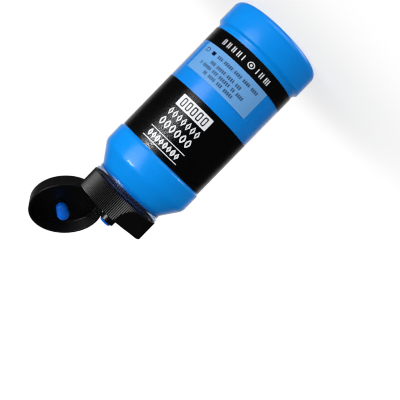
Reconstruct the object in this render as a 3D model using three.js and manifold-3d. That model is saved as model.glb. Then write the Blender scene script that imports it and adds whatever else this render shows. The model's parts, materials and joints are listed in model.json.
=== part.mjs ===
// Squeeze bottle of fluid acrylic paint, 118 ml, with a black flip-top screw closure.
// Millimetres, +Z up. The origin is on the bottle's axis in the plane that it stands on.
// The label's front faces -Y. The lid is modelled open, as it is while paint is poured.
import * as THREE from 'three';
import { mergeVertices } from 'three/addons/utils/BufferGeometryUtils.js';
import Module from 'manifold-3d';

const TURN = 2 * Math.PI;
const deg = THREE.MathUtils.degToRad;

// --- driving dimensions: bottle body ---
const WALL = 0.8;                 // blown PET wall
const GAP = 0.15;                 // room between pieces that lie against each other
const BODY_SIDES = 36;            // facets round the bottle, the label and the paint
const HEEL_R = 22.7;              // bulge at the foot, the widest place
const HEEL_CORNER = 3.2;
const PUSH_UP = 0.5;              // hollow under the base
const PUSH_UP_R = 13;
const BASE_RING_R = 14.5;         // inside edge of the ring that the bottle stands on
const LEDGE_Z = 11.6;             // where the heel starts to step in
const LEDGE_TOP = 13.3;
const PANEL_R = 21.35;            // label panel
const BUMPER_Z = 70.7;            // where the panel steps out again
const BUMPER_STEP = 1.0;
const BUMPER_R = 22.15;
const CONE_ANGLE = deg(35);       // shoulder's slope to the axis
const CONE_CORNER = 5;            // rounding between bumper and shoulder
const CONE_START = 80.2;          // height where bumper and shoulder lines would cross
const COLLAR_R = 16.35;
const COLLAR_FILLET = 1.6;
const COLLAR_TOP = 90.3;
const PAINT_TOP = 94;             // the bottle is filled into its neck

// --- driving dimensions: neck finish, 28 mm ---
const GROOVE_R = 15.3;
const FLANGE_R = 16.8;
const FLANGE_Z = 90.9;
const FLANGE_TOP = 91.6;
const NECK_R = 12.6;
const NECK_BORE_R = 10.9;
const NECK_TOP = 99.6;
const LEAD = 4.233;               // six turns to the inch, right hand
const THREAD_DEPTH = 1.05;
const CAP_THREAD_DEPTH = 1.0;
const THREAD_ROOT = 2.2;          // axial thickness at the root and at the crest
const THREAD_CREST = 0.9;
const THREAD_SUNK = 0.3;          // the ridge starts this far inside the wall that carries it
const THREAD_RUN_OUT = 0.08;      // turns over which each end rises to full depth
const THREAD_END_RISE = 0.15;     // share of the depth where a thread starts
const THREAD_STEPS_PER_TURN = 36;
const NECK_THREAD_Z = 93.2;       // middle of the thread where it starts
const NECK_THREAD_TURNS = 1.2;
const THREAD_DROP = 1.7;          // the closure's thread bears on the neck thread's underside
const CAP_THREAD_START = 0.57;    // in turns, counted from the neck thread's start
const CAP_THREAD_TURNS = 1.08;

// --- driving dimensions: label film ---
const FILM = 0.15;
const LABEL_R = 21.47;            // its inside
const LABEL_BOTTOM = 15.1;
const LABEL_TOP = 70.4;

// --- driving dimensions: closure base ---
const SKIRT_R = 17.2;             // over the ribs
const SKIRT_WALL = 1.0;
const SKIRT_BOTTOM = 92.0;
const RIBS = 140;
const RIB_DEPTH = 0.25;
const DECK_TOP = 101.8;
const DECK = 1.3;
const UNDER_DECK = DECK_TOP - DECK;
const MERGE = 0.1;                // parts of one moulding sink this far into each other
const BORE_R = 13.95;             // inside the threaded collar
const INNER_COLLAR_R = 15.2;
const INNER_COLLAR_BOTTOM = 92.6;
const HINGE_AZIMUTH = deg(41.4);
const HINGE_FLAT = 16.1;          // the closure is flat here, behind the hinge
const FLAT_CUT = { thick: 4, tall: 40 };
const SCOOP = { out: 18.2, depth: 3.4, across: 14.8, down: 9.9, wall: 0.9 };
const NOZZLE_OFFSET = 2.44;       // from the axis, towards the thumb scoop
const NOZZLE_R = 3.63;
const NOZZLE_TIP_R = 3.45;
const NOZZLE_H = 3.7;
const ORIFICE_R = 2.0;
const NOZZLE_SIDES = 32;

// --- driving dimensions: seal disc ---
const LINER_R = 13.35;
const LINER_HOLE_R = 6;

// --- driving dimensions: lid ---
const LID_OPEN = deg(114.8);      // turned back from closed
const HINGE_OUT = 16.48;          // hinge axis, from the bottle's axis
const HINGE_UP = 0.35;            // and above the deck
const LID_GAP = 0.3;              // between deck and rim when closed
const LID_RIM_R = 16.59;
const LID_TOP_R = 15.8;
const LID_H = 6.79;
const LID_WALL = 1.05;
const LID_ROOF = 1.0;
const LID_CORNER = 1.1;
const LID_INSIDE_CORNER = 0.6;
const LID_SIDES = 48;
const PLUG_R = 1.72;
const PLUG_TIP = 2.65;            // above the deck when closed
const PLUG_CHAMFER = 0.3;
const PLUG_SIDES = 24;

// --- driving dimensions: wet paint on the nozzle and on the plug ---
const BEAD_FOOT = 1.9;            // above the deck, inside the orifice
const BEAD = { r: 2.7, flat: 0.42 };
const LOBE = { r: 2.75, up: 0.6 };
const SAG = { r: 2.7, reach: 2.7, way: new THREE.Vector3(-0.47, 0.54, -0.7) };

// --- driving dimensions: living hinge ---
const FILM_HINGE = 0.4;           // thickness of the moulded strips
const FILM_CLEAR = 0.3;           // room between a strip and the flat that it lies on
const HINGE_LEG = 2.4;            // length of each strip's two legs
const STRIPS = [
  { name: 'hinge_film', width: 4.4, y: 0 },
  { name: 'hinge_strap_left', width: 1.0, y: 3.3 },
  { name: 'hinge_strap_right', width: 1.0, y: -3.3 },
];

// --- colours ---
const black = { color: 0x0b0b0c, roughness: 0.42, metalness: 0 };
const paintBlue = { color: 0x0a84ea, roughness: 0.25, metalness: 0 };
const clear = { color: 0xdfeefa, roughness: 0.08, metalness: 0, transparent: true, opacity: 0.3 };
const print = { color: 0x101014, roughness: 0.3, metalness: 0 };
const foam = { color: 0xf2f2ee, roughness: 0.8, metalness: 0 };

const wasm = await Module();
wasm.setup();

// Strips a geometry to shared positions and turns its faces outward.
function closed(geometry) {
  const bare = new THREE.BufferGeometry();
  bare.setAttribute('position', geometry.attributes.position.clone());
  if (geometry.index) bare.setIndex(geometry.index.clone());
  const merged = mergeVertices(bare, 1e-4);
  const p = merged.attributes.position;
  const kept = [];
  let volume = 0;
  const corner = [0, 1, 2].map(() => new THREE.Vector3());
  for (let i = 0; i < merged.index.count; i += 3) {
    const tri = [0, 1, 2].map((k) => merged.index.getX(i + k));
    if (new Set(tri).size < 3) continue;
    kept.push(tri);
    corner.forEach((c, k) => c.fromBufferAttribute(p, tri[k]));
    volume += corner[0].dot(corner[1].clone().cross(corner[2]));
  }
  if (volume < 0) kept.forEach((tri) => tri.reverse());
  merged.setIndex(kept.flat());
  return merged;
}

function solid(geometry) {
  const g = closed(geometry);
  return new wasm.Manifold(new wasm.Mesh({
    numProp: 3,
    vertProperties: new Float32Array(g.attributes.position.array),
    triVerts: new Uint32Array(g.index.array),
  }));
}

function shape(manifold) {
  const mesh = manifold.getMesh();
  const g = new THREE.BufferGeometry();
  g.setAttribute('position', new THREE.BufferAttribute(mesh.vertProperties, 3));
  g.setIndex(new THREE.BufferAttribute(mesh.triVerts, 1));
  return g;
}

// A piece turned about +Z from [radius, height] points, closed on the axis or on itself.
function turned(points, sides = BODY_SIDES) {
  const profile = points.map(([r, z]) => new THREE.Vector2(r, z));
  return closed(new THREE.LatheGeometry(profile, sides).rotateX(Math.PI / 2));
}

function ring(rIn, rOut, z0, z1, sides = BODY_SIDES) {
  return turned([[rIn, z0], [rOut, z0], [rOut, z1], [rIn, z1], [rIn, z0]], sides);
}

function disc(r, z0, z1, sides = BODY_SIDES, rTop = r) {
  return turned([[0, z0], [r, z0], [rTop, z1], [0, z1]], sides);
}

function arc(cr, cz, radius, from, to, steps) {
  return Array.from({ length: steps + 1 }, (_, i) => {
    const a = deg(from + (to - from) * i / steps);
    return [cr + radius * Math.cos(a), cz + radius * Math.sin(a)];
  });
}

// A smooth step between two radii, as blow moulding rounds it.
function step(rFrom, rTo, z0, z1, count) {
  return Array.from({ length: count + 1 }, (_, i) => {
    const t = i / count;
    return [rFrom + (rTo - rFrom) * (1 - Math.cos(Math.PI * t)) / 2, z0 + (z1 - z0) * t];
  });
}

// The body's profile from the base's centre to the collar, `inset` inside its skin.
function bodyProfile(inset, top, fine) {
  const tangent = CONE_CORNER * Math.tan(CONE_ANGLE / 2);
  const degAngle = THREE.MathUtils.radToDeg(CONE_ANGLE);
  const coneEnd = CONE_START + (BUMPER_R - COLLAR_R) / Math.tan(CONE_ANGLE);
  const fillet = COLLAR_FILLET * Math.tan(CONE_ANGLE / 2);
  const wall = [
    ...step(HEEL_R, PANEL_R, LEDGE_Z, LEDGE_TOP, fine ? 5 : 3),
    ...step(PANEL_R, BUMPER_R, BUMPER_Z, BUMPER_Z + BUMPER_STEP, fine ? 4 : 2),
    ...arc(BUMPER_R - CONE_CORNER, CONE_START - tangent, CONE_CORNER, 0, degAngle, fine ? 4 : 2),
    ...arc(COLLAR_R + COLLAR_FILLET, coneEnd + fillet, COLLAR_FILLET, 180 + degAngle, 180, 2),
    [COLLAR_R, top],
  ].map(([r, z]) => [r - inset, z]);
  const corner = HEEL_CORNER - inset;
  return [
    [0, PUSH_UP + inset],
    [PUSH_UP_R, PUSH_UP + inset],
    [BASE_RING_R, inset],
    ...arc(HEEL_R - HEEL_CORNER, HEEL_CORNER, corner, -90, 0, fine ? 5 : 3),
    ...wall,
  ];
}

// A ridge of trapezoid section bent into a right-hand helix.
// `depth` is negative for an inside thread.
function thread(rootR, depth, zStart, startTurn, turns) {
  const sunk = -THREAD_SUNK * Math.sign(depth);
  const section = new THREE.Shape([
    new THREE.Vector2(sunk, -THREAD_ROOT / 2),
    new THREE.Vector2(depth, -THREAD_CREST / 2),
    new THREE.Vector2(depth, THREAD_CREST / 2),
    new THREE.Vector2(sunk, THREAD_ROOT / 2),
  ]);
  const steps = Math.ceil(turns * THREAD_STEPS_PER_TURN);
  const bar = new THREE.ExtrudeGeometry(section, { depth: turns, steps, bevelEnabled: false });
  const p = bar.attributes.position;
  for (let i = 0; i < p.count; i++) {
    const along = p.getZ(i);
    const rise = Math.min(1, THREAD_END_RISE + Math.min(along, turns - along) / THREAD_RUN_OUT);
    const out = p.getX(i) === Math.fround(sunk) ? sunk : p.getX(i) * rise;
    const a = (startTurn + along) * TURN;
    const r = rootR + out;
    p.setXYZ(i, r * Math.cos(a), r * Math.sin(a), zStart + p.getY(i) + LEAD * (startTurn + along));
  }
  return closed(bar);
}

function bottleShell() {
  const outside = [
    ...bodyProfile(0, COLLAR_TOP, true),
    [GROOVE_R, COLLAR_TOP],
    [GROOVE_R, FLANGE_Z],
    [FLANGE_R, FLANGE_Z],
    [FLANGE_R, FLANGE_TOP],
    [NECK_R, FLANGE_TOP],
    ...arc(NECK_R - 0.4, NECK_TOP - 0.4, 0.4, 0, 90, 2),
  ];
  const inside = [
    ...bodyProfile(WALL, COLLAR_TOP - WALL, false),
    [NECK_BORE_R, FLANGE_Z],
    [NECK_BORE_R, NECK_TOP],
  ];
  const ridge = thread(NECK_R, THREAD_DEPTH, NECK_THREAD_Z, 0, NECK_THREAD_TURNS);
  return shape(solid(turned([...outside, ...inside.reverse()])).add(solid(ridge)));
}

function paintFill() {
  return turned([
    ...bodyProfile(WALL + GAP, COLLAR_TOP - WALL - GAP, false),
    [NECK_BORE_R - GAP, FLANGE_Z - GAP],
    [NECK_BORE_R - GAP, PAINT_TOP],
    [0, PAINT_TOP],
  ]);
}

function labelWrap() {
  return ring(LABEL_R, LABEL_R + FILM, LABEL_BOTTOM, LABEL_TOP);
}

function sealLiner() {
  return ring(LINER_HOLE_R, LINER_R, NECK_TOP + GAP, UNDER_DECK - GAP);
}

// Closure and lid are drawn with the hinge towards +X, and are turned to the hinge's place at the end.
function hingeFlat(wall = 0) {
  const box = new THREE.BoxGeometry(FLAT_CUT.thick, 2 * SKIRT_R, FLAT_CUT.tall);
  return solid(box.translate(HINGE_FLAT - wall + FLAT_CUT.thick / 2, 0, DECK_TOP));
}

function scoopEllipsoid(grow) {
  const ball = new THREE.SphereGeometry(1, 40, 24);
  ball.scale(SCOOP.depth + grow, SCOOP.across + grow, SCOOP.down + grow);
  return solid(ball.translate(-SCOOP.out, 0, DECK_TOP));
}

function ribbedDrum() {
  const outline = new THREE.Shape(Array.from({ length: 2 * RIBS }, (_, i) => {
    const r = i % 2 ? SKIRT_R - RIB_DEPTH : SKIRT_R;
    const a = i * Math.PI / RIBS;
    return new THREE.Vector2(r * Math.cos(a), r * Math.sin(a));
  }));
  const depth = DECK_TOP - SKIRT_BOTTOM;
  const drum = new THREE.ExtrudeGeometry(outline, { depth, bevelEnabled: false });
  return solid(drum.translate(0, 0, SKIRT_BOTTOM));
}

// The skirt is thicker inside behind the thumb scoop, so that the scoop doesn't break through.
function scoopWall() {
  const inside = BORE_R + 3 * MERGE;
  const outside = SKIRT_R - RIB_DEPTH - MERGE;
  const room = ring(inside, outside, SKIRT_BOTTOM, UNDER_DECK + MERGE, LID_SIDES);
  return scoopEllipsoid(SCOOP.wall).intersect(solid(room));
}

function capBase() {
  const below = SKIRT_BOTTOM - 1;
  const tip = DECK_TOP + NOZZLE_H;
  const skirtRing = ring(INNER_COLLAR_R, SKIRT_R - SKIRT_WALL, below, UNDER_DECK, LID_SIDES);
  const skirtRoom = solid(skirtRing).subtract(hingeFlat(SKIRT_WALL));
  const collarFoot = solid(ring(BORE_R - 1, INNER_COLLAR_R + MERGE, below, INNER_COLLAR_BOTTOM, LID_SIDES));
  const bore = solid(disc(BORE_R, below, UNDER_DECK, LID_SIDES));
  const nozzle = solid(disc(NOZZLE_R, UNDER_DECK + MERGE, tip, NOZZLE_SIDES, NOZZLE_TIP_R));
  const orifice = solid(disc(ORIFICE_R, UNDER_DECK - 1, tip + 1, NOZZLE_SIDES));
  const moulding = ribbedDrum()
    .subtract(skirtRoom)
    .subtract(collarFoot)
    .subtract(bore)
    .add(scoopWall())
    .subtract(scoopEllipsoid(0))
    .subtract(hingeFlat())
    .add(nozzle.translate([-NOZZLE_OFFSET, 0, 0]))
    .subtract(orifice.translate([-NOZZLE_OFFSET, 0, 0]));
  // The thread keeps its phase with the neck's, so it joins after the rest is turned to the hinge's place.
  const inPlace = moulding.rotate([0, 0, THREE.MathUtils.radToDeg(HINGE_AZIMUTH)]);
  const ridgeZ = NECK_THREAD_Z - THREAD_DROP;
  const ridge = thread(BORE_R, -CAP_THREAD_DEPTH, ridgeZ, CAP_THREAD_START, CAP_THREAD_TURNS);
  return shape(inPlace.add(solid(ridge)));
}

// Lid and what is on it are drawn closed, with the hinge axis as their origin and the hinge towards +X.
function lidFrame(geometry) {
  return geometry.translate(-HINGE_OUT, 0, -DECK_TOP - HINGE_UP);
}

function capLid() {
  const rim = DECK_TOP + LID_GAP;
  const top = rim + LID_H;
  const ceiling = top - LID_ROOF;
  const tip = DECK_TOP + PLUG_TIP;
  // the side leans in towards the top, and the corner's arc ends where it meets that lean
  const lean = (LID_RIM_R - LID_TOP_R) / LID_H;
  const corner = arc(LID_TOP_R - LID_CORNER, top - LID_CORNER, LID_CORNER, 5, 90, 4)
    .map(([r, z]) => [r + lean * LID_CORNER / 2, z]);
  const insideR = LID_TOP_R - LID_WALL - LID_INSIDE_CORNER;
  const cup = solid(turned([
    [0, top],
    ...corner.reverse(),
    [LID_RIM_R, rim],
    [LID_RIM_R - LID_WALL, rim],
    ...arc(insideR, ceiling - LID_INSIDE_CORNER, LID_INSIDE_CORNER, 0, 90, 2),
    [0, ceiling],
  ], LID_SIDES));
  const pin = solid(turned([
    [0, tip],
    [PLUG_R - PLUG_CHAMFER, tip],
    [PLUG_R, tip + PLUG_CHAMFER],
    [PLUG_R, ceiling + 2 * MERGE],
    [0, ceiling + 2 * MERGE],
  ], PLUG_SIDES));
  return lidFrame(shape(cup.subtract(hingeFlat()).add(pin.translate([-NOZZLE_OFFSET, 0, 0]))));
}

// Paint left on the plug: one lobe round its tip and one that sags off it.
function paintOnPlug() {
  const tip = DECK_TOP + PLUG_TIP;
  const sag = SAG.way.clone().multiplyScalar(SAG.reach);
  const lobe = solid(new THREE.SphereGeometry(LOBE.r, 20, 14));
  const drop = solid(new THREE.SphereGeometry(SAG.r, 20, 14)).translate([sag.x, sag.y, sag.z]);
  const room = solid(disc(PLUG_R + GAP, -LOBE.up - GAP, 10, PLUG_SIDES));
  const blob = lobe.add(drop).subtract(room);
  return lidFrame(shape(blob.translate([-NOZZLE_OFFSET, 0, tip + LOBE.up])));
}

// Paint standing in the orifice and swelling over the nozzle's lip.
function paintAtMouth() {
  const foot = DECK_TOP + BEAD_FOOT;
  const lip = DECK_TOP + NOZZLE_H + GAP;
  const dome = arc(0, 0, BEAD.r, 0, 90, 6).slice(0, -1).map(([r, z]) => [r, lip + z * BEAD.flat]);
  return turned([
    [0, foot],
    [ORIFICE_R - GAP, foot],
    [ORIFICE_R - GAP, lip],
    ...dome,
    [0, lip + BEAD.r * BEAD.flat],
  ], PLUG_SIDES).translate(-NOZZLE_OFFSET, 0, 0);
}

// A moulded strip folded over the hinge line: one leg on the base's flat, one on the lid's flat.
function hingeStrip(width) {
  const base = new THREE.Vector2(HINGE_FLAT, DECK_TOP);
  const hinge = new THREE.Vector2(HINGE_OUT, DECK_TOP + HINGE_UP);
  const lidWay = new THREE.Vector2(Math.sin(LID_OPEN), Math.cos(LID_OPEN));
  const lidOut = new THREE.Vector2(Math.cos(LID_OPEN), -Math.sin(LID_OPEN));
  const lidFace = hinge.clone().addScaledVector(lidOut, HINGE_FLAT - HINGE_OUT);
  const onLid = (along, off) => lidFace.clone().addScaledVector(lidWay, along).addScaledVector(lidOut, off);
  const near = FILM_CLEAR;
  const far = FILM_CLEAR + FILM_HINGE;
  // where the two legs' upper faces and lower faces meet
  const meet = (off) => {
    const start = onLid(0, off);
    return start.addScaledVector(lidWay, (base.x + off - start.x) / lidWay.x);
  };
  const outline = new THREE.Shape([
    new THREE.Vector2(base.x + near, base.y - HINGE_LEG),
    new THREE.Vector2(base.x + far, base.y - HINGE_LEG),
    meet(far),
    onLid(HINGE_LEG, far),
    onLid(HINGE_LEG, near),
    meet(near),
  ]);
  const strip = new THREE.ExtrudeGeometry(outline, { depth: width, bevelEnabled: false });
  return closed(strip.translate(0, 0, -width / 2).rotateX(Math.PI / 2));
}

function node(name, geometry, look) {
  const flat = geometry.toNonIndexed();
  flat.computeVertexNormals();
  const mesh = new THREE.Mesh(flat, new THREE.MeshStandardMaterial(look));
  mesh.name = name;
  return mesh;
}

const bottle = new THREE.Group();
bottle.add(node('bottle_shell', bottleShell(), clear));
bottle.add(node('label_wrap', labelWrap(), print));
bottle.add(node('paint_fill', paintFill(), paintBlue));

const lid = new THREE.Group();
lid.position.set(HINGE_OUT, 0, DECK_TOP + HINGE_UP);
lid.rotation.y = LID_OPEN;
lid.add(node('cap_lid', capLid(), black));
lid.add(node('paint_on_plug', paintOnPlug(), paintBlue));

const towardsHinge = new THREE.Group();
towardsHinge.rotation.z = HINGE_AZIMUTH;
towardsHinge.add(node('paint_at_mouth', paintAtMouth(), paintBlue));
STRIPS.forEach(({ name, width, y }) => {
  const strip = node(name, hingeStrip(width), black);
  strip.position.y = y;
  towardsHinge.add(strip);
});
towardsHinge.add(lid);

const closure = new THREE.Group();
closure.add(node('seal_liner', sealLiner(), foam));
closure.add(node('cap_base', capBase(), black));
closure.add(towardsHinge);

const paintBottle = new THREE.Group();
paintBottle.add(bottle, closure);

export default paintBottle;
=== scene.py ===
import json
import math
from itertools import product

import bpy
import numpy as np
from mathutils import Matrix, Vector


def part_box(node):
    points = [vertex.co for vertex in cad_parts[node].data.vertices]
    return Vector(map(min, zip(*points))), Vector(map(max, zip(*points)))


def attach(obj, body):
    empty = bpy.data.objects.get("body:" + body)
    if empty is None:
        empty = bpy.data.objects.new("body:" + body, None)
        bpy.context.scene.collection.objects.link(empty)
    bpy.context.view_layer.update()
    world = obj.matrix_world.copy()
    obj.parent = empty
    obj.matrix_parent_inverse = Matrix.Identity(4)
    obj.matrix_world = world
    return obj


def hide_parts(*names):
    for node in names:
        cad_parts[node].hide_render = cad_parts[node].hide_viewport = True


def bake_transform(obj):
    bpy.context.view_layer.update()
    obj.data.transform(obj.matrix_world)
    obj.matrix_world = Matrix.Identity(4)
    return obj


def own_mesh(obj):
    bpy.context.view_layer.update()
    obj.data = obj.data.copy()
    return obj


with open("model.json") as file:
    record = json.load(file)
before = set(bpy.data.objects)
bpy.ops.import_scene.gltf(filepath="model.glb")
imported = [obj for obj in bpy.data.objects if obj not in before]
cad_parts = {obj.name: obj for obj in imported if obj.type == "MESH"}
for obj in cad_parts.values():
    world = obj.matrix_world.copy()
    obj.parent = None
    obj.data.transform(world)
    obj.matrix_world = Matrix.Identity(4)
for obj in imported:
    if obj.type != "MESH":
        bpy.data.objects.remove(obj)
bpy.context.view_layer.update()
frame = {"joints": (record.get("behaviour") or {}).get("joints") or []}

# A squeeze bottle of blue fluid acrylic paint with a black flip-top screw closure.
# Shapes are worked out in millimetres and become metres when a piece is made.
MM = 0.001
TURN = 2 * math.pi
# a radius under the first counts as none, and the second is outside everything
ON_AXIS = 1e-9
FAR = 99.0


def mm_box(node):
    """A CAD node's lowest and highest corners, in millimetres."""
    low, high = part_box(node)
    return low / MM, high / MM


SHELL_HIGH = mm_box("bottle_shell")[1]
LABEL_LOW, LABEL_HIGH = mm_box("label_wrap")
PAINT_HIGH = mm_box("paint_fill")[1]
CAP_LOW, CAP_HIGH = mm_box("cap_base")
LINER_LOW, LINER_HIGH = mm_box("seal_liner")
JOINT = {j["name"]: j for j in frame["joints"]}

# --- bottle ---
SKIN = 0.12
HEEL_R = SHELL_HIGH.x
HEEL_CORNER = 3.2
PUSH_UP = 0.5
PUSH_UP_R = 13
BASE_RING_R = 14.5
LEDGE_Z = 11.6
LEDGE_TOP = 13.3
PANEL_R = LABEL_HIGH.x - 0.17
BUMPER_Z = 70.7
BUMPER_STEP = 1.0
BUMPER_R = 22.15
CONE_ANGLE = math.radians(35)
CONE_CORNER = 5
CONE_START = 80.2
COLLAR_R = 16.35
COLLAR_FILLET = 1.6
COLLAR_TOP = 90.3
BODY_END = COLLAR_TOP - 1.4
SHOULDER = 0.75
GROOVE_R = 15.3
FLANGE_R = 16.8
FLANGE_Z = 90.9
FLANGE_TOP = 91.6
NECK_R = 12.6
NECK_BORE_R = 10.9
NECK_TOP = SHELL_HIGH.z
LEAD = 4.233
BOTTLE_SIDES = 192
THREAD_START = 93.2
# heights at which the painted shade under the closure starts on the paint and on the plastic, is darkest,
# and ends again
PAINT_SHADE_FROM = 87.0
PLASTIC_SHADE_FROM = 89.0
SHADE_DARKEST = 89.8
THREAD_LIGHT = 94.0
COLLAR_SHINE = 0.25
COLLAR_HAZE = 0.02
PLASTIC_IOR = 1.5

# --- closure ---
SKIRT_R = CAP_HIGH.x
SKIRT_BOTTOM = CAP_LOW.z
SKIRT_WALL = 1.0
RIBS = 140
RIB_DEPTH = 0.25
RIB_SAMPLES = 6
CLOSURE_SIDES = 160
NOZZLE_SIDES = 96
SMALL_SIDES = 64
DECK_TOP = 101.8
DECK = 1.3
UNDER_DECK = DECK_TOP - DECK
LAND_DROP = 0.15
DECK_ROUGHER = 0.35
DECK_BAND = 0.25
PLATFORM_R = 14.2
BORE_R = 13.95
INNER_COLLAR_R = 15.2
INNER_COLLAR_BOTTOM = 92.6
HINGE_PLACE = Vector(JOINT["lid_hinge"]["pos_m"]) / MM
HINGE_AZIMUTH = math.atan2(HINGE_PLACE.y, HINGE_PLACE.x)
HINGE_OUT = math.hypot(HINGE_PLACE.x, HINGE_PLACE.y)
HINGE_FLAT = 16.1
WEB_LEG, WEB_THICK, WEB_OFF = 2.4, 0.4, 0.28
WEB_THINNER, WEB_THIN_REACH = 0.35, 0.8
SCOOP_OUT, SCOOP_DEPTH, SCOOP_ACROSS, SCOOP_DOWN, SCOOP_WALL = 18.2, 3.4, 14.8, 9.9, 0.9
NOZZLE_OFFSET = 2.44
NOZZLE_R = 3.63
NOZZLE_TIP_R = 3.45
NOZZLE_TOP = CAP_HIGH.z
ORIFICE_R = 2.0
LINER_WIDTH = 7.35

# --- lid, drawn closed ---
LID_OPEN = math.radians(-JOINT["lid_hinge"]["range_deg"][0])
LID_RIM = DECK_TOP + 0.3
LID_RIM_R = 16.49
LID_TOP_R = 15.70
LID_TOP = LID_RIM + 6.79
LID_WALL = 1.05
LID_ROOF = 1.0
PLUG_R = 1.72
PLUG_TIP = DECK_TOP + 2.65


# ---------------------------------------------------------------- mesh making

def arc(cr, cz, radius, start, end, steps):
    """Points of an arc in the (radius, height) plane; angles in degrees."""
    angles = np.radians(np.linspace(start, end, steps + 1))
    return [(cr + radius * math.cos(a), cz + radius * math.sin(a)) for a in angles]


def rounded(corners, steps=5):
    """An outline whose corners (r, z, radius) are rounded, but for its first and last."""
    points = []
    for i, (r, z, radius) in enumerate(corners):
        if radius <= 0 or i in (0, len(corners) - 1):
            points.append((r, z))
            continue
        here = Vector((r, z))
        before = (Vector(corners[i - 1][:2]) - here).normalized()
        after = (Vector(corners[i + 1][:2]) - here).normalized()
        half = before.angle(after) / 2
        reach = radius / math.tan(half)
        centre = here + (before + after).normalized() * radius / math.sin(half)
        start = (here + before * reach - centre).normalized()
        end = (here + after * reach - centre).normalized()
        for k in range(steps + 1):
            points.append(tuple(centre + start.slerp(end, k / steps) * radius))
    return points


def ringed(rows, closed):
    """Vertices and faces of rows of (radii round Z, height); a row with no radius is a point on the axis."""
    sides = len(rows[0][0])
    rings, verts, faces = [], [], []
    for radii, z in rows:
        if radii[0] < ON_AXIS:
            rings.append([len(verts)] * sides)
            verts.append((0.0, 0.0, z))
            continue
        rings.append(list(range(len(verts), len(verts) + sides)))
        for k, r in enumerate(radii):
            a = TURN * k / sides
            verts.append((float(r * math.cos(a)), float(r * math.sin(a)), z))
    for low, high in zip(rings, rings[1:] + rings[:1] if closed else rings[1:]):
        for k in range(sides):
            n = (k + 1) % sides
            face = list(dict.fromkeys((low[k], low[n], high[n], high[k])))
            if len(face) > 2:
                faces.append(face)
    return verts, faces


def revolved(profile, sides):
    """Vertices and faces of a profile turned about Z, which runs from axis to axis or closes on itself."""
    return ringed([([r] * sides, z) for r, z in profile], profile[0][0] > ON_AXIS)


def bar_faces(sections):
    """Faces of a bar made of sections of four vertices each, with its two ends."""
    faces = []
    for i in range(0, 4 * (sections - 1), 4):
        for k in range(4):
            n = (k + 1) % 4
            faces.append((i + k, i + n, i + 4 + n, i + 4 + k))
    last = 4 * (sections - 1)
    return faces + [(3, 2, 1, 0), (last, last + 1, last + 2, last + 3)]


def new_object(name, verts, faces):
    """A mesh object from millimetre vertices, with its faces turned outward."""
    mesh = bpy.data.meshes.new(name)
    mesh.from_pydata([tuple(MM * c for c in v) for v in verts], [], faces)
    obj = bpy.data.objects.new(name, mesh)
    bpy.context.scene.collection.objects.link(obj)
    face_outward(mesh)
    return obj


def face_outward(mesh):
    mesh.calc_loop_triangles()
    volume = 0.0
    for tri in mesh.loop_triangles:
        a, b, c = (mesh.vertices[i].co for i in tri.vertices)
        volume += a.dot(b.cross(c))
    if volume < 0:
        mesh.flip_normals()


def turned(name, profile, sides):
    return new_object(name, *revolved(profile, sides))


def shift(obj, x=0.0, z=0.0, turn=0.0):
    """Moves the mesh itself: a turn about Z, then a shift along X and Z, in millimetres."""
    obj.data.transform(Matrix.Translation((x * MM, 0, z * MM)) @ Matrix.Rotation(turn, 4, "Z"))
    return obj


def settle(obj):
    """Applies an object's modifiers to its mesh."""
    evaluated = obj.evaluated_get(bpy.context.evaluated_depsgraph_get())
    mesh = bpy.data.meshes.new_from_object(evaluated)
    obj.modifiers.clear()
    obj.data = mesh
    return obj


def combine(target, tool, operation):
    """A boolean of two closed meshes; the tool is used up."""
    boolean = target.modifiers.new("boolean", "BOOLEAN")
    boolean.operation = operation
    boolean.solver = "MANIFOLD"
    boolean.object = tool
    settle(target)
    bpy.data.objects.remove(tool)
    return target


def cut(target, tool):
    return combine(target, tool, "DIFFERENCE")


def join(target, tool):
    return combine(target, tool, "UNION")


def smooth(obj, angle):
    """Smooth shading that breaks at edges sharper than the angle, in degrees."""
    mesh = obj.data
    mesh.shade_smooth()
    mesh.set_sharp_from_angle(angle=math.radians(angle))
    return obj


def finish_piece(obj, body, material, replaces=(), angle=32):
    """Shades a piece, gives it its material and body, and hides the CAD nodes it stands for."""
    smooth(obj, angle)
    obj.data.materials.clear()
    obj.data.materials.append(material)
    if body:
        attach(obj, body)
    if replaces:
        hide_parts(*replaces)
    return obj


# ---------------------------------------------------------------- materials

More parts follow.
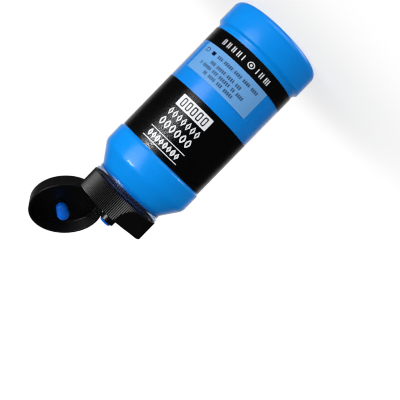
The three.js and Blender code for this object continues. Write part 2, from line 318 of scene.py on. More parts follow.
class Nodes:
    """Short names for building a node tree."""

    def __init__(self, name):
        self.material = bpy.data.materials.new(name)
        self.material.use_nodes = True
        self.tree = self.material.node_tree
        self.tree.nodes.clear()

    def add(self, kind, inputs=None, **settings):
        node = self.tree.nodes.new("ShaderNode" + kind)
        for key, value in settings.items():
            setattr(node, key, value)
        for key, value in (inputs or {}).items():
            self.set(node, key, value)
        return node

    def set(self, node, key, value):
        if isinstance(value, bpy.types.NodeSocket):
            self.tree.links.new(value, node.inputs[key])
        else:
            node.inputs[key].default_value = value

    def place(self):
        """Object coordinates in metres: every piece's mesh is in the row's frame."""
        return self.add("TexCoord").outputs["Object"]

    def noise(self, scale, detail=3.0):
        noise = self.add("TexNoise", {"Vector": self.place(), "Scale": scale, "Detail": detail})
        return noise.outputs["Fac"]

    def ramp(self, factor, low, high):
        """Maps a 0 to 1 factor to a range of numbers."""
        return self.add("MapRange", {"Value": factor, "To Min": low, "To Max": high}).outputs["Result"]

    def above(self, value, low, high):
        """0 at low and beyond it, 1 at high and beyond it; low may be the larger."""
        return self.add("MapRange", {"Value": value, "From Min": low, "From Max": high}).outputs["Result"]

    def collar(self, start):
        """1 at the collar and flange, fading to 0 down to start and up to THREAD_LIGHT; in mm. It masks the
        shade painted under the closure.
        """
        height = self.height()
        up = self.above(height, start * MM, SHADE_DARKEST * MM)
        down = self.above(height, THREAD_LIGHT * MM, FLANGE_TOP * MM)
        return self.math("MULTIPLY", up, down)

    def blend(self, factor, a, b):
        mix = self.add("Mix", {0: factor, 6: a, 7: b}, data_type="RGBA")
        return mix.outputs[2]

    def bump(self, height, strength, distance):
        bump = self.add("Bump", {"Height": height, "Strength": strength, "Distance": distance})
        return bump.outputs["Normal"]

    def math(self, operation, *values):
        return self.add("Math", dict(enumerate(values)), operation=operation).outputs[0]

    def height(self):
        return self.add("SeparateXYZ", {"Vector": self.place()}).outputs["Z"]

    def principled(self, inputs):
        return self.add("BsdfPrincipled", inputs).outputs["BSDF"]

    def done(self, shader):
        out = self.add("OutputMaterial")
        self.tree.links.new(shader, out.inputs["Surface"])
        return self.material


def clear_skin(name, roughness, wave, wave_scale):
    """Thin clear plastic: it mirrors by the angle it is seen at, and lets the rest through.

    The thick collar and flange are milkier and less shiny, and darker by painted shade from the closure. The
    thread is a little tinted."""
    n = Nodes(name)
    ripple = n.bump(n.noise(wave_scale, 2.0), wave, 0.0004)
    mirror = n.add("BsdfGlossy", {"Color": (1, 1, 1, 1), "Roughness": roughness, "Normal": ripple})
    collar = n.collar(PLASTIC_SHADE_FROM)
    thread = n.above(n.height(), FLANGE_TOP * MM, THREAD_LIGHT * MM)
    tint = n.blend(thread, (0.99, 0.995, 1.0, 1), (0.80, 0.85, 0.91, 1))
    # painted shade: the collar and flange tint darkens what lies behind, for the shade under the closure
    tint = n.blend(collar, tint, (0.56, 0.63, 0.74, 1))
    open_part = n.add("BsdfTransparent", {"Color": tint}).outputs[0]
    outer = n.math("SUBTRACT", 1.0, n.add("NewGeometry").outputs["Backfacing"])
    share = n.add("Fresnel", {"IOR": PLASTIC_IOR, "Normal": ripple}).outputs[0]
    share = n.math("MULTIPLY", n.math("MULTIPLY", share, outer), n.ramp(collar, 1.0, COLLAR_SHINE))
    film = n.add("MixShader", {0: share, 1: open_part, 2: mirror.outputs[0]}).outputs[0]
    milk = n.add("BsdfDiffuse", {"Color": (0.8, 0.86, 0.92, 1)}).outputs[0]
    cloud = n.ramp(n.noise(900.0, 2.0), 0.6 * COLLAR_HAZE, 1.4 * COLLAR_HAZE)
    cloud = n.math("MULTIPLY", cloud, collar)
    return n.done(n.add("MixShader", {0: cloud, 1: film, 2: milk}).outputs[0])


def paint_in_bottle():
    """Opaque blue paint, nearly matt because the skin over it makes the shine; darker at the collar by
    painted shade from the closure.
    """
    n = Nodes("paint_in_bottle")
    colour = n.blend(n.noise(60.0), (0.0, 0.30, 0.91, 1), (0.0, 0.325, 0.95, 1))
    # painted shade: the paint turns dark navy at the collar, standing in for the closure's shade
    colour = n.blend(n.collar(PAINT_SHADE_FROM), colour, (0.0, 0.09, 0.40, 1))
    return n.done(n.principled({
        "Base Color": colour,
        "Roughness": n.ramp(n.noise(400.0), 0.45, 0.6),
        "Specular IOR Level": 0.05,
    }))


def wet_paint():
    n = Nodes("wet_paint")
    # its blue is darker than the paint in the bottle: painted shade, for the shade inside the lid's hollow;
    # the bead at the mouth shares it
    colour = n.blend(n.noise(350.0), (0.0, 0.10, 0.60, 1), (0.0, 0.155, 0.78, 1))
    return n.done(n.principled({
        "Base Color": colour,
        "Roughness": n.ramp(n.noise(900.0), 0.28, 0.4),
        "Normal": n.bump(n.noise(500.0, 2.0), 0.25, 0.0002),
        "Specular IOR Level": 0.22,
    }))


def black_plastic(name, rough_low, rough_high):
    """Moulded polypropylene with a fine grain, faint flow marks and small scuffs; its deck is matt."""
    n = Nodes(name)
    grain = n.noise(9000.0, 2.0)
    scuff = n.add("TexNoise", {"Vector": n.place(), "Scale": 700.0, "Detail": 6.0, "Distortion": 3.0})
    worn = n.above(scuff.outputs["Fac"], 0.62, 0.75)
    on_deck = n.math("COMPARE", n.height(), DECK_TOP * MM, DECK_BAND * MM)
    rough = n.math("ADD", n.ramp(n.noise(220.0, 4.0), rough_low, rough_high), n.ramp(worn, 0.0, 0.12))
    return n.done(n.principled({
        "Base Color": n.blend(worn, (0.003, 0.003, 0.0033, 1), (0.008, 0.008, 0.009, 1)),
        "Roughness": n.math("ADD", rough, n.ramp(on_deck, 0.0, DECK_ROUGHER)),
        "Specular IOR Level": n.ramp(on_deck, 0.6, 0.2),
        "Normal": n.bump(grain, 0.2, 0.00003),
    }))


def ink(name, colour, second, roughness):
    """Printed ink with the faint mottle of a film print."""
    n = Nodes(name)
    mottle = n.noise(2500.0)
    return n.done(n.principled({
        "Base Color": n.blend(mottle, colour, second),
        "Roughness": n.ramp(mottle, roughness - 0.05, roughness + 0.05),
        "Specular IOR Level": 0.0,
    }))


def foam():
    n = Nodes("white_foam")
    cells = n.add("TexVoronoi", {"Vector": n.place(), "Scale": 2500.0}).outputs["Distance"]
    return n.done(n.principled({
        "Base Color": n.blend(n.noise(300.0), (0.84, 0.84, 0.8, 1), (0.9, 0.9, 0.87, 1)),
        "Roughness": n.ramp(cells, 0.7, 0.9),
        "Normal": n.bump(cells, 0.4, 0.0001),
    }))


PET = clear_skin("clear_pet", 0.22, 0.03, 60.0)
FILM = clear_skin("label_film", 0.26, 0.02, 80.0)
PAINT = paint_in_bottle()
WET = wet_paint()
BLACK = black_plastic("black_plastic", 0.22, 0.30)
BLACK_LID = black_plastic("black_plastic_lid", 0.34, 0.44)
FOAM = foam()
INK_BLACK = ink("ink_black", (0.0003, 0.0003, 0.0005, 1), (0.0006, 0.0006, 0.0009, 1), 0.5)
INK_WHITE = ink("ink_white", (0.82, 0.84, 0.86, 1), (0.9, 0.91, 0.92, 1), 0.5)
INK_TINT = ink("ink_tint", (0.15, 0.39, 0.76, 1), (0.17, 0.42, 0.8, 1), 0.5)
INK_TEXT = ink("ink_text", (0.0, 0.004, 0.03, 1), (0.0, 0.006, 0.04, 1), 0.5)


# ---------------------------------------------------------------- bottle

def step(r_from, r_to, z0, z1, count):
    """A smooth step in the wall from one radius to another."""
    t = np.linspace(0, 1, count + 1)
    return [(r_from + (r_to - r_from) * (1 - math.cos(math.pi * s)) / 2, z0 + (z1 - z0) * s) for s in t]


def body_profile(inset, top):
    """The body's profile from the base's centre to the collar, inset inside its skin."""
    tangent = CONE_CORNER * math.tan(CONE_ANGLE / 2)
    lean = math.degrees(CONE_ANGLE)
    cone_end = CONE_START + (BUMPER_R - COLLAR_R) / math.tan(CONE_ANGLE)
    fillet = COLLAR_FILLET * math.tan(CONE_ANGLE / 2)
    wall = [
        *step(HEEL_R, PANEL_R, LEDGE_Z, LEDGE_TOP, 14),
        *step(PANEL_R, BUMPER_R, BUMPER_Z, BUMPER_Z + BUMPER_STEP, 12),
        *arc(BUMPER_R - CONE_CORNER, CONE_START - tangent, CONE_CORNER, 0, lean, 12),
        *arc(COLLAR_R + COLLAR_FILLET, cone_end + fillet, COLLAR_FILLET, 180 + lean, 180, 8),
        (COLLAR_R, top),
    ]
    corner = HEEL_CORNER - inset
    return [
        (0, PUSH_UP + inset),
        (PUSH_UP_R, PUSH_UP + inset),
        (BASE_RING_R, inset),
        *arc(HEEL_R - HEEL_CORNER, HEEL_CORNER, corner, -90, 0, 12),
        *[(r - inset, z) for r, z in wall],
    ]


def helix(name, root_r, depth, z_start, start_turn, turns):
    """A thread's ridge as a closed mesh. Depth is negative for a thread inside a bore."""
    root, crest, run_out, steps_per_turn = 2.2, 0.9, 0.08, 96
    inward = -0.3 * math.copysign(1, depth)
    section = [(inward, -root / 2), (depth, -crest / 2), (depth, crest / 2), (inward, root / 2)]
    steps = math.ceil(turns * steps_per_turn)
    verts = []
    for i in range(steps + 1):
        along = turns * i / steps
        rise = min(1.0, 0.15 + min(along, turns - along) / run_out)
        a = (start_turn + along) * TURN
        for out, up in section:
            r = root_r + (out if out == inward else out * rise)
            verts.append((r * math.cos(a), r * math.sin(a), z_start + up + LEAD * (start_turn + along)))
    return new_object(name, verts, bar_faces(steps + 1))


def make_bottle():
    neck = rounded([
        (COLLAR_R, COLLAR_TOP - 1.2, 0),
        (COLLAR_R, COLLAR_TOP, 0.35),
        (GROOVE_R, COLLAR_TOP, 0.15),
        (GROOVE_R, FLANGE_Z, 0.15),
        (FLANGE_R, FLANGE_Z, 0.2),
        (FLANGE_R, FLANGE_TOP, 0.2),
        (NECK_R, FLANGE_TOP, 0.4),
        (NECK_R, NECK_TOP, 0.4),
        (NECK_BORE_R, NECK_TOP, 0.4),
        (NECK_BORE_R, FLANGE_Z, 0.8),
        (COLLAR_R - SKIN, COLLAR_TOP - SHOULDER, 0),
    ])
    outside = body_profile(0, BODY_END)
    inside = body_profile(SKIN, COLLAR_TOP - SHOULDER - 0.3)
    shell = turned("bottle_clear", outside + neck + inside[::-1], BOTTLE_SIDES)
    thread = helix("neck_thread", NECK_R, depth=1.05, z_start=THREAD_START, start_turn=0, turns=1.2)
    join(shell, thread)
    finish_piece(shell, "bottle", PET, ["bottle_shell"])


def make_paint():
    """The paint lies on the inside of the wall, and its level is in the neck."""
    inset = SKIN + 0.02
    bore = NECK_BORE_R - 0.03
    profile = [
        *body_profile(inset, COLLAR_TOP - SHOULDER - 0.1),
        *rounded([
            (COLLAR_R - inset, COLLAR_TOP - SHOULDER - 0.1, 0),
            (bore, FLANGE_Z - 0.15, 0.8),
            (bore, PAINT_HIGH.z, 0.1),
            (0, PAINT_HIGH.z - 0.1, 0),
        ])[1:],
    ]
    body = turned("paint_body", profile, BOTTLE_SIDES)
    finish_piece(body, "bottle", PAINT, ["paint_fill"])


# ---------------------------------------------------------------- label

FILM_OUT = LABEL_HIGH.x
FILM_IN = FILM_OUT - 0.15
BAND_LOW_TOP = 22.2
BAND_BIG_LOW = 42.3
LABEL_FRONT = math.radians(270)
SEAM = 0.5
LOOP_POINTS = 32
TICK_PITCH = 0.95
TICK_WIDE = 0.48
TICK_NARROW = 0.42
SIDE_PRINT = math.radians(150) * FILM_OUT


def film_shape(outline, r_in, r_out):
    """A thin curved slab. The outline is columns of (arc length from the centre, low z, high z)."""
    verts, faces = [], []
    for s, low, high in outline:
        a = LABEL_FRONT + s / FILM_OUT
        for r in (r_in, r_out):
            for z in (low, high):
                verts.append((r * math.cos(a), r * math.sin(a), z))
    for i in range(len(outline) - 1):
        b, n = 4 * i, 4 * i + 4
        for k, m in ((0, 1), (1, 3), (3, 2), (2, 0)):
            faces.append((b + k, b + m, n + m, n + k))
    last = 4 * (len(outline) - 1)
    faces.append((0, 2, 3, 1))
    faces.append((last, last + 1, last + 3, last + 2))
    return verts, faces


def block(s0, s1, z0, z1, corner=0.25):
    """Columns of a rectangle with rounded corners, short enough to follow the bottle's curve."""
    corner = min(corner, (s1 - s0) / 2, (z1 - z0) / 2)
    quarter = [corner * (1 - math.cos(t)) for t in np.linspace(0, math.pi / 2, 7)]
    count = max(2, math.ceil((s1 - s0 - 2 * corner) / 0.7))
    middle = list(np.linspace(s0 + corner, s1 - corner, count + 1))[1:-1]
    columns = [s0 + q for q in quarter] + middle + [s1 - q for q in reversed(quarter)]
    outline = []
    for s in columns:
        side = max(0.0, corner - min(s - s0, s1 - s))
        sag = corner - math.sqrt(max(corner ** 2 - side ** 2, 0.0))
        sag = min(sag, (z1 - z0) / 2 - 0.02)
        outline.append((s, z0 + sag, z1 - sag))
    return outline


def ink_piece(name, shapes, material, r_in, r_out):
    """One piece of ink from filled outlines and outlined marks."""
    verts, faces = [], []
    for outline in shapes:
        make = ring_shape if len(outline) == 2 and len(outline[0]) > 3 else film_shape
        v, f = make(outline, r_in, r_out)
        faces += [tuple(i + len(verts) for i in face) for face in f]
        verts += v
    piece = new_object(name, verts, faces)
    return finish_piece(piece, "bottle", material)


def loop(s, z, width, height, power):
    """Points round a superellipse: power 1 is a diamond, 2 an ellipse, larger a rounded box."""
    points = []
    for k in range(LOOP_POINTS):
        c, n = math.cos(TURN * k / LOOP_POINTS), math.sin(TURN * k / LOOP_POINTS)
        points.append((
            s + width / 2 * math.copysign(abs(c) ** (2 / power), c),
            z + height / 2 * math.copysign(abs(n) ** (2 / power), n),
        ))
    return points


def outline_mark(s, z, width, height, power, stroke):
    """The outline of a superellipse, as an outer and an inner loop."""
    slim = stroke * (1.5 if power < 1.5 else 1)
    return loop(s, z, width, height, power), loop(s, z, width - 2 * slim, height - 2 * slim, power)


def ring_shape(loops, r_in, r_out):
    """A thin curved slab between an outer and an inner loop."""
    verts, faces = [], []
    for points in loops:
        for r in (r_in, r_out):
            for s, z in points:
                a = LABEL_FRONT + s / FILM_OUT
                verts.append((r * math.cos(a), r * math.sin(a), z))
    n = len(loops[0])
    order = [0, n, 3 * n, 2 * n]
    for k in range(n):
        m = (k + 1) % n
        for start, end in zip(order, order[1:] + order[:1]):
            faces.append((start + k, start + m, end + m, end + k))
    return verts, faces


def ticks(s0, s1, z, height, pattern, width=TICK_WIDE):
    """A line of small upright strokes in word-like groups, in place of fine print."""
    shapes, at, i = [], s0, 0
    while at < s1 - width:
        for _ in range(pattern[i % len(pattern)]):
            if at < s1 - width:
                shapes.append(block(at, at + width, z - height / 2, z + height / 2, 0.08))
            at += TICK_PITCH
        at += TICK_PITCH
        i += 1
    return shapes


def row(s0, s1, z, height, powers, stroke=0.42, gap=0.55):
    """A line of outlined marks, evenly spread from s0 to s1."""
    width = (s1 - s0 - gap * (len(powers) - 1)) / len(powers)
    return [
        outline_mark(s0 + width / 2 + i * (width + gap), z, width, height, power, stroke)
        for i, power in enumerate(powers)
    ]


def wrap_band(low, high):
    """A band all round, but for the unprinted seam at the back."""
    half = math.pi * FILM_OUT - SEAM / 2
    return [(s, low, high) for s in np.linspace(-half, half, BOTTLE_SIDES + 1)]


def make_label():
    film = turned("label_film", rounded([
        (FILM_IN, LABEL_LOW.z, 0), (FILM_OUT, LABEL_LOW.z, 0.05),
        (FILM_OUT, LABEL_HIGH.z, 0.05), (FILM_IN, LABEL_HIGH.z, 0),
    ], 2), BOTTLE_SIDES)
    finish_piece(film, "bottle", FILM, ["label_wrap"])

    under, over = FILM_IN + 0.02, FILM_OUT - 0.05
    edge = 0.06
    ink_piece("label_ink_black", [
        wrap_band(LABEL_LOW.z + edge, BAND_LOW_TOP),
        wrap_band(BAND_BIG_LOW, LABEL_HIGH.z - edge),
    ], INK_BLACK, under, over)
    ink_piece("label_ink_tint", [block(-17.3, 19.1, BAND_LOW_TOP + 0.1, 35.7, 0.1)], INK_TINT, under, over)

    # places on the label are the arc length from the front's middle, then the height
    left, right = -8.5, 8.1
    white = [block(left, right, 44.9, 50.4, 0.3)]
    white += row(left, right, 53.5, 3.9, [1] * 7)
    white += row(left, right, 58.5, 3.9, [1.4] * 6, 0.45)
    white += [block(left - 1.2, right + 1.2, z, z + 0.35, 0.1) for z in (62.6, 67.5)]
    white += row(left, right, 65.2, 3.3, [1, 1.4] * 4, 0.5, 0.3)
    white += ticks(-13.9, -6.5, 19.0, 2.5, [3, 2], width=TICK_NARROW)
    white += [outline_mark(-3.6, 19.0, 3.2, 2.8, 2, 0.4), block(-4.1, -3.1, 18.5, 19.5, 0.5)]
    white += ticks(0.5, 13.9, 19.0, 2.5, [1, 2, 2, 2, 2], width=TICK_NARROW)
    # lines of fine print on one side of the seam, and on the other a white panel for the plain bars
    lines, first_line, line_pitch, half_line = 8, 47, 2.5, 9
    for line in range(lines):
        words = [4 + line % 3, 6, 3, 5 - line % 2]
        z = first_line + line_pitch * line
        white += ticks(SIDE_PRINT - half_line, SIDE_PRINT + half_line, z, 1.4, words)
    white += [block(-SIDE_PRINT - 8, -SIDE_PRINT + 8, 46.0, 59.0, 0.3)]
    ink_piece("label_ink_white", white, INK_WHITE, over - 0.01, over + 0.02)

    knockout = row(left + 1.6, right - 1.6, 47.65, 3.9, [5] * 5, 0.5, 0.9)
    bars, bar_pitch, thinnest, thicker = 14, 0.98, 0.3, 0.15
    for bar in range(bars):
        at = -SIDE_PRINT - 6.7 + bar_pitch * bar
        knockout.append(block(at, at + thinnest + thicker * (5 * bar % 3), 47.6, 57.4, 0.05))
    ink_piece("label_ink_knockout", knockout, INK_BLACK, over, over + 0.03)
    text = ticks(-6.8, 9.8, 33.4, 1.5, [5, 3, 4])
    text += ticks(-10.6, 14.0, 31.0, 1.5, [4, 2, 6, 3, 5])
    text += ticks(-7.0, 9.8, 28.6, 1.5, [3, 4, 5])
    text += ticks(-13.6, 9.5, 25.3, 1.5, [4, 4, 4, 5, 3])
    text += [block(10.6, 12.6, 24.5, 26.1, 0.2), outline_mark(15.9, 25.3, 2.6, 1.9, 2, 0.3)]
    ink_piece("label_ink_lines", text, INK_TEXT, over - 0.01, over + 0.02)


# ---------------------------------------------------------------- closure

def to_hinge(obj):
    """Turns a mesh drawn with its hinge towards +X to the hinge's place."""
    return shift(obj, turn=HINGE_AZIMUTH)


def skirt_radius(a, z):
    """The skirt's outside at azimuth a, from the hinge, and height z: ribs, thumb scoop, hinge flat."""
    wave = 0.5 - 0.5 * np.cos(a * RIBS)
    r = SKIRT_R - RIB_DEPTH * wave ** 0.7
    c, s = np.cos(a), np.sin(a)
    qa = (c / SCOOP_DEPTH) ** 2 + (s / SCOOP_ACROSS) ** 2
    qb = 2 * SCOOP_OUT * c / SCOOP_DEPTH ** 2
    qc = (SCOOP_OUT / SCOOP_DEPTH) ** 2 + ((z - DECK_TOP) / SCOOP_DOWN) ** 2 - 1
    inside = qb ** 2 - 4 * qa * qc
    scoop = np.where((inside > 0) & (c < 0), (-qb - np.sqrt(np.maximum(inside, 0))) / (2 * qa), FAR)
    flat = np.where(c > 0.5, HINGE_FLAT / np.maximum(c, 0.5), FAR)
    return np.minimum(np.minimum(r, scoop), flat)


def drum():
    """The closure's outside as one closed mesh, with rounded top and bottom edges."""
    sides, bands, edge_steps = RIBS * RIB_SAMPLES, 37, 4
    a = np.arange(sides) * TURN / sides
    land = DECK_TOP - LAND_DROP
    edge = 0.35
    rows = [
        (np.zeros(sides), DECK_TOP),
        (np.full(sides, 8.0), DECK_TOP),
        (np.full(sides, PLATFORM_R - 0.15), DECK_TOP),
        (np.full(sides, PLATFORM_R - 0.03), DECK_TOP - 0.05),
        (np.full(sides, PLATFORM_R), land),
    ]
    for t in np.linspace(0, math.pi / 2, edge_steps + 1):
        z = land - edge * (1 - math.sin(math.pi / 2 - t))
        rows.append((skirt_radius(a, z) - edge * (1 - math.sin(t)), z))
    for z in np.linspace(land - edge, SKIRT_BOTTOM + edge, bands + 1)[1:]:
        rows.append((skirt_radius(a, z), z))
    for t in np.linspace(0, math.pi / 2, edge_steps + 1)[1:]:
        z = SKIRT_BOTTOM + edge * (1 - math.sin(t))
        rows.append((skirt_radius(a, z) - edge * (1 - math.cos(t)), z))
    rows.append((np.zeros(sides), SKIRT_BOTTOM))
    return new_object("closure_base", *ringed(rows, closed=False))


def tube(name, r_in, r_out, z0, z1):
    return turned(name, [(r_in, z0), (r_out, z0), (r_out, z1), (r_in, z1)], CLOSURE_SIDES)


def rod(name, r, z0, z1):
    return turned(name, [(0, z0), (r, z0), (r, z1), (0, z1)], CLOSURE_SIDES)


def scoop_ball(grow):
    """The ellipsoid that the thumb scoop is cut with, larger by the given wall."""
    ball = turned("scoop", arc(0, 0, 1, -90, 90, 24), SMALL_SIDES)
    ball.data.transform(Matrix.Diagonal((SCOOP_DEPTH + grow, SCOOP_ACROSS + grow, SCOOP_DOWN + grow, 1)))
    return shift(ball, x=-SCOOP_OUT, z=DECK_TOP)


def cuboid(name, low, high):
    corners = list(product(*zip(low, high)))
    faces = [(0, 1, 3, 2), (4, 6, 7, 5), (0, 4, 5, 1), (2, 3, 7, 6), (0, 2, 6, 4), (1, 5, 7, 3)]
    return new_object(name, corners, faces)


def beyond_flat(wall):
    """All that lies behind the hinge's flat, or from its wall on."""
    low = HINGE_FLAT - wall, -SKIRT_R, SKIRT_BOTTOM - 5
    high = SKIRT_R + 1, SKIRT_R, LID_TOP + 5
    return cuboid("beyond_flat", low, high)


def make_closure():
    below = SKIRT_BOTTOM - 1
    base = drum()
    room = tube("room", INNER_COLLAR_R, SKIRT_R - SKIRT_WALL, below, UNDER_DECK)
    cut(room, scoop_ball(SCOOP_WALL))
    cut(room, beyond_flat(SKIRT_WALL))
    cut(base, room)
    cut(base, tube("collar_foot", BORE_R - 1, INNER_COLLAR_R + 0.1, below, INNER_COLLAR_BOTTOM))
    cut(base, rod("bore", BORE_R, below, UNDER_DECK))
    nozzle = turned("nozzle", rounded([
        (0, UNDER_DECK + 0.2, 0),
        (NOZZLE_R + 0.9, UNDER_DECK + 0.2, 0),
        (NOZZLE_R + 0.9, DECK_TOP - 0.02, 0),
        (NOZZLE_R, DECK_TOP, 0.5),
        (NOZZLE_TIP_R, NOZZLE_TOP, 0.45),
        (0, NOZZLE_TOP, 0),
    ]), NOZZLE_SIDES)
    join(base, shift(nozzle, x=-NOZZLE_OFFSET))
    orifice = turned("orifice", rounded([
        (0, UNDER_DECK - 1, 0),
        (ORIFICE_R, UNDER_DECK - 1, 0),
        (ORIFICE_R, NOZZLE_TOP - 0.3, 0.2),
        (ORIFICE_R + 0.4, NOZZLE_TOP + 0.1, 0),
        (ORIFICE_R + 0.4, NOZZLE_TOP + 1, 0),
        (0, NOZZLE_TOP + 1, 0),
    ]), NOZZLE_SIDES)
    cut(base, shift(orifice, x=-NOZZLE_OFFSET))
    to_hinge(base)
    thread = helix("cap_thread", BORE_R, depth=-1.0, z_start=THREAD_START - 1.7, start_turn=0.57, turns=1.08)
    join(base, thread)
    finish_piece(base, "closure", BLACK, ["cap_base"], angle=28)


def make_liner():
    hole, rim = LINER_HIGH.x - LINER_WIDTH, LINER_HIGH.x
    disc = turned("seal_disc", rounded([
        (hole, LINER_LOW.z, 0), (rim, LINER_LOW.z, 0.15),
        (rim, LINER_HIGH.z, 0.15), (hole, LINER_HIGH.z, 0),
    ], 3), 128)
    finish_piece(disc, "liner", FOAM, ["seal_liner"])


# ---------------------------------------------------------------- lid

def open_lid(obj):
    """Opens a mesh drawn closed, hinge towards +X, to its rest pose, and turns it to the hinge's place."""
    pivot = Matrix.Translation((HINGE_OUT * MM, 0, HINGE_PLACE.z * MM))
    obj.data.transform(pivot @ Matrix.Rotation(LID_OPEN, 4, "Y") @ pivot.inverted())
    return to_hinge(obj)


def make_lid():
    inner_top = LID_TOP - LID_ROOF
    cup = turned("lid_shell", rounded([
        (0, LID_TOP, 0),
        (LID_TOP_R, LID_TOP, 1.1),
        (LID_RIM_R, LID_RIM, 0.22),
        (LID_RIM_R - LID_WALL, LID_RIM, 0.22),
        (LID_TOP_R - LID_WALL, inner_top, 0.7),
        (0, inner_top, 0),
    ], 8), 192)
    cut(cup, beyond_flat(0))
    pin = turned("pin", rounded([
        (0, PLUG_TIP, 0),
        (PLUG_R, PLUG_TIP, 0.35),
        (PLUG_R, inner_top - 0.05, 0.3),
        (PLUG_R + 0.7, inner_top, 0),
        (PLUG_R + 0.7, inner_top + 0.3, 0),
        (0, inner_top + 0.3, 0),
    ]), SMALL_SIDES)
    join(cup, shift(pin, x=-NOZZLE_OFFSET))
    finish_piece(open_lid(cup), "lid", BLACK_LID, ["cap_lid"])


def merged_blob(name, balls, voxel):
    """Balls (x, y, z, radius) melted into one smooth drop."""
    verts, faces = [], []
    for x, y, z, radius in balls:
        v, f = revolved([(radius * math.cos(t), radius * math.sin(t)) for t in
                         np.linspace(-math.pi / 2, math.pi / 2, 25)], 40)
        faces += [[i + len(verts) for i in face] for face in f]
        verts += [(p[0] + x, p[1] + y, p[2] + z) for p in v]
    blob = new_object(name, verts, faces)
    remesh = blob.modifiers.new("melt", "REMESH")
    remesh.mode = "VOXEL"
    remesh.voxel_size = voxel * MM
    relax = blob.modifiers.new("relax", "SMOOTH")
    relax.factor = 0.8
    relax.iterations = 14
    return settle(blob)


def make_plug_paint():
    sag = Vector((-0.47, 1.0, -0.7)) * 2.5
    tip = Vector((-NOZZLE_OFFSET, 0.0, PLUG_TIP + 0.5))
    balls = [(*(tip + sag * t), 2.45 + 0.35 * t) for t in (0, 0.4, 0.7, 1)]
    blob = merged_blob("plug_paint", balls, 0.16)
    open_lid(blob)
    finish_piece(blob, "lid", WET, ["paint_on_plug"], angle=180)
    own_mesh(blob)


def make_mouth_paint():
    low = DECK_TOP + 1.9
    bead = turned("mouth_paint", rounded([
        (0, low, 0),
        (ORIFICE_R - 0.02, low, 0),
        (ORIFICE_R - 0.02, NOZZLE_TOP - 0.1, 0.2),
        (2.75, NOZZLE_TOP + 0.12, 0.3),
        (2.3, NOZZLE_TOP + 0.95, 0.9),
        (0, NOZZLE_TOP + 1.25, 0),
    ], 8), SMALL_SIDES)
    to_hinge(shift(bead, x=-NOZZLE_OFFSET))
    finish_piece(bead, "closure", WET, ["paint_at_mouth"], angle=180)
    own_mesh(bead)


def hinge_web(name, node, width, y):
    """A moulded strip bent over the hinge line, from the base's flat to the lid's."""
    up = Vector((0, 1))
    lid_way = Vector((math.sin(LID_OPEN), math.cos(LID_OPEN)))
    lid_out = Vector((math.cos(LID_OPEN), -math.sin(LID_OPEN)))
    hinge = Vector((HINGE_OUT, HINGE_PLACE.z))
    foot = Vector((HINGE_FLAT + WEB_OFF, DECK_TOP - WEB_LEG))
    lid_start = hinge + lid_out * (HINGE_FLAT + WEB_OFF - HINGE_OUT)
    bend = lid_start + lid_way * ((foot.x - lid_start.x) / lid_way.x)
    end = lid_start + lid_way * WEB_LEG
    line = [foot.lerp(bend - up * 0.4, t) for t in np.linspace(0, 1, 9)]
    line += [bend.lerp(end, 0.12), *[bend.lerp(end, t) for t in np.linspace(0.2, 1, 8)]]
    verts = []
    half = width / 2
    for i, p in enumerate(line):
        ahead = (line[min(i + 1, len(line) - 1)] - line[max(i - 1, 0)]).normalized()
        out = Vector((ahead.y, -ahead.x))
        thick = WEB_THICK * (1 - WEB_THINNER * math.exp(-((p - bend).length / WEB_THIN_REACH) ** 2))
        for side, depth in ((-half, 0), (half, 0), (half, thick), (-half, thick)):
            q = p + out * depth
            verts.append((q.x, y + side, q.y))
    web = to_hinge(new_object(name, verts, bar_faces(len(line))))
    finish_piece(web, None, BLACK, [node])
    outward = Vector((math.cos(HINGE_AZIMUTH), math.sin(HINGE_AZIMUTH), 0))
    # the strip passes from the closure to the lid along this slope, just under the hinge's line
    base = outward * HINGE_OUT + Vector((0, 0, HINGE_PLACE.z - 0.35))
    way = (outward * 0.8 + Vector((0, 0, 0.6))).normalized()
    start, end = base - way * 0.25, base + way * 0.55
    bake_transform(web)


# ---------------------------------------------------------------- stage, light, camera

CAMERA_AZIMUTH = math.radians(260)
CAMERA_REACH = 0.3197
CAMERA_HEIGHT = 0.0627
CAMERA_TURN = (-92.208, 44.350, 172.763)
CAMERA_LENS = 67.8
ROOM_LIGHT = 0.14
SHINE_FRONT = 0.02
SHINE_BEHIND = 0.8
FADE_REACH = 1.15
PAPER_REACH = 30
WHITE_REACH = 120
LEAST_GLOW = 0.72
FLOOR_HALF = 3000


def make_camera():
    data = bpy.data.cameras.new("camera")
    data.lens = CAMERA_LENS
    data.sensor_width = 36
    camera = bpy.data.objects.new("camera", data)
    camera.location = (
        CAMERA_REACH * math.cos(CAMERA_AZIMUTH), CAMERA_REACH * math.sin(CAMERA_AZIMUTH), CAMERA_HEIGHT)
    camera.rotation_euler = [math.radians(t) for t in CAMERA_TURN]
    bpy.context.scene.collection.objects.link(camera)
    bpy.context.scene.camera = camera


def soft_box(name, azimuth, elevation, distance, width, height, radiance, mirrored=False, lights=True):
    """A soft box that faces the bottle's middle. Only a mirrored one shows in shiny surfaces.

    A mirrored one is brightest in its middle and fades to its edges."""
    data = bpy.data.lights.new(name, "AREA")
    data.shape = "RECTANGLE"
    data.size = width
    data.size_y = height
    data.energy = radiance * math.pi * width * height
    if mirrored:
        slope = FADE_REACH * max(width, height) / 2 / distance
        data.spread = 2 * math.atan(slope)
        data.energy *= (slope - math.atan(slope)) / slope
    light = bpy.data.objects.new(name, data)
    a, e = math.radians(azimuth), math.radians(elevation)
    way = Vector((math.cos(a) * math.cos(e), math.sin(a) * math.cos(e), math.sin(e)))
    light.location = Vector((0, 0, CAMERA_HEIGHT)) + way * distance
    light.rotation_euler = way.to_track_quat("Z", "Y").to_euler()
    light.visible_camera = False
    light.visible_glossy = mirrored
    light.visible_diffuse = lights
    bpy.context.scene.collection.objects.link(light)


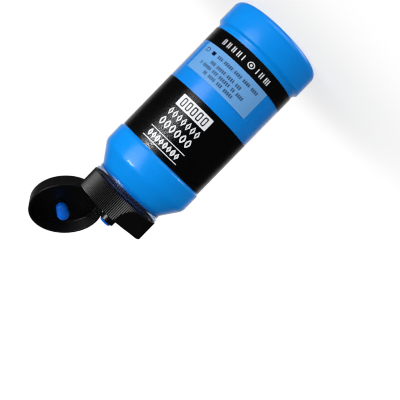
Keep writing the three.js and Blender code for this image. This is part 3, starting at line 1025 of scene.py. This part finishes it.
def make_lights():
    # the key is the soft patch in the bottle's shine, left of the middle as the camera sees it,
    # and the glint is that patch's bright core on the shoulder
    soft_box("key", 303, 13, 0.9, 0.84, 0.75, 4.6, mirrored=True)
    soft_box("glint", 304, 28, 0.9, 0.32, 0.26, 24.0, mirrored=True, lights=False)
    soft_box("key_fill", 306, 35, 0.8, 0.7, 0.6, 1.5)
    soft_box("front_fill", 285, 30, 1.1, 0.6, 0.6, 0.5)
    soft_box("top", 120, 75, 1.1, 1.0, 1.0, 1.2)
    # these two stand below the floor, which casts no shadow, and shine up on the undersides of
    # the foot and of the shoulder's step
    soft_box("rim", 140, -62, 0.9, 0.5, 0.5, 5.0, mirrored=True)
    soft_box("under", 265, -60, 0.9, 1.4, 0.4, 2.2, mirrored=True, lights=False)


def make_world():
    """White to the camera, an even dim room to diffuse light, and bright only behind to shiny surfaces."""
    world = bpy.data.worlds.new("studio")
    world.use_nodes = True
    tree = world.node_tree
    tree.nodes.clear()
    add, link = tree.nodes.new, tree.links.new
    place = add("ShaderNodeTexCoord")
    side = add("ShaderNodeVectorMath")
    side.operation = "DOT_PRODUCT"
    side.inputs[1].default_value = (-math.cos(CAMERA_AZIMUTH), -math.sin(CAMERA_AZIMUTH), 0)
    link(place.outputs["Generated"], side.inputs[0])
    level = add("ShaderNodeMapRange")
    level.interpolation_type = "SMOOTHSTEP"
    level.inputs["From Min"].default_value = 0.6
    level.inputs["From Max"].default_value = 1.0
    level.inputs["To Min"].default_value = SHINE_FRONT
    level.inputs["To Max"].default_value = SHINE_BEHIND
    link(side.outputs["Value"], level.inputs["Value"])
    ray = add("ShaderNodeLightPath")
    strength = add("ShaderNodeMix")
    strength.inputs["A"].default_value = ROOM_LIGHT
    link(ray.outputs["Is Glossy Ray"], strength.inputs["Factor"])
    link(level.outputs["Result"], strength.inputs["B"])
    dim = add("ShaderNodeBackground")
    link(strength.outputs["Result"], dim.inputs["Strength"])
    white = add("ShaderNodeBackground")
    white.inputs["Color"].default_value = (1, 1, 1, 1)
    mix = add("ShaderNodeMixShader")
    link(ray.outputs["Is Camera Ray"], mix.inputs[0])
    link(dim.outputs[0], mix.inputs[1])
    link(white.outputs[0], mix.inputs[2])
    out = add("ShaderNodeOutputWorld")
    link(mix.outputs[0], out.inputs["Surface"])
    bpy.context.scene.world = world


def make_floor():
    """White like the background; by the bottle it is part paper, and fades to plain white further out."""
    n = Nodes("pale_floor")
    tone = n.blend(n.noise(6.0, 2.0), (0.9, 0.9, 0.9, 1), (0.93, 0.93, 0.93, 1))
    paper = n.principled({"Base Color": tone, "Roughness": 0.9, "Specular IOR Level": 0.1})
    reach = n.add("VectorMath", {0: n.place()}, operation="LENGTH").outputs["Value"]
    away = n.add("MapRange", {
        "Value": reach, "From Min": PAPER_REACH * MM, "From Max": WHITE_REACH * MM, "To Min": LEAST_GLOW,
    }, interpolation_type="SMOOTHSTEP")
    glow = n.add("Emission", {"Color": (1, 1, 1, 1), "Strength": 1.0}).outputs[0]
    material = n.done(n.add("MixShader", {0: away.outputs["Result"], 1: paper, 2: glow}).outputs[0])
    corners = [(x * FLOOR_HALF, y * FLOOR_HALF, 0) for x, y in ((-1, -1), (1, -1), (1, 1), (-1, 1))]
    floor = new_object("floor", corners, [(0, 1, 2, 3)])
    floor.data.materials.append(material)
    material.cycles.emission_sampling = "NONE"
    floor.visible_glossy = False
    floor.visible_shadow = False


def set_view():
    view = bpy.context.scene.view_settings
    view.view_transform = "Standard"
    view.look = "None"
    cycles = bpy.context.scene.cycles
    cycles.transparent_max_bounces = 24
    # the closure's ribs are as fine as the picture's grain, and these two keep them
    cycles.filter_width = 1.0
    cycles.denoising_input_passes = "RGB"


make_camera()
make_lights()
make_world()
make_floor()
set_view()
make_bottle()
make_paint()
make_label()
make_closure()
make_liner()
make_lid()
make_plug_paint()
make_mouth_paint()
hinge_web("hinge_web_middle", "hinge_film", 4.4, 0)
hinge_web("hinge_web_left", "hinge_strap_left", 1.0, 3.3)
hinge_web("hinge_web_right", "hinge_strap_right", 1.0, -3.3)
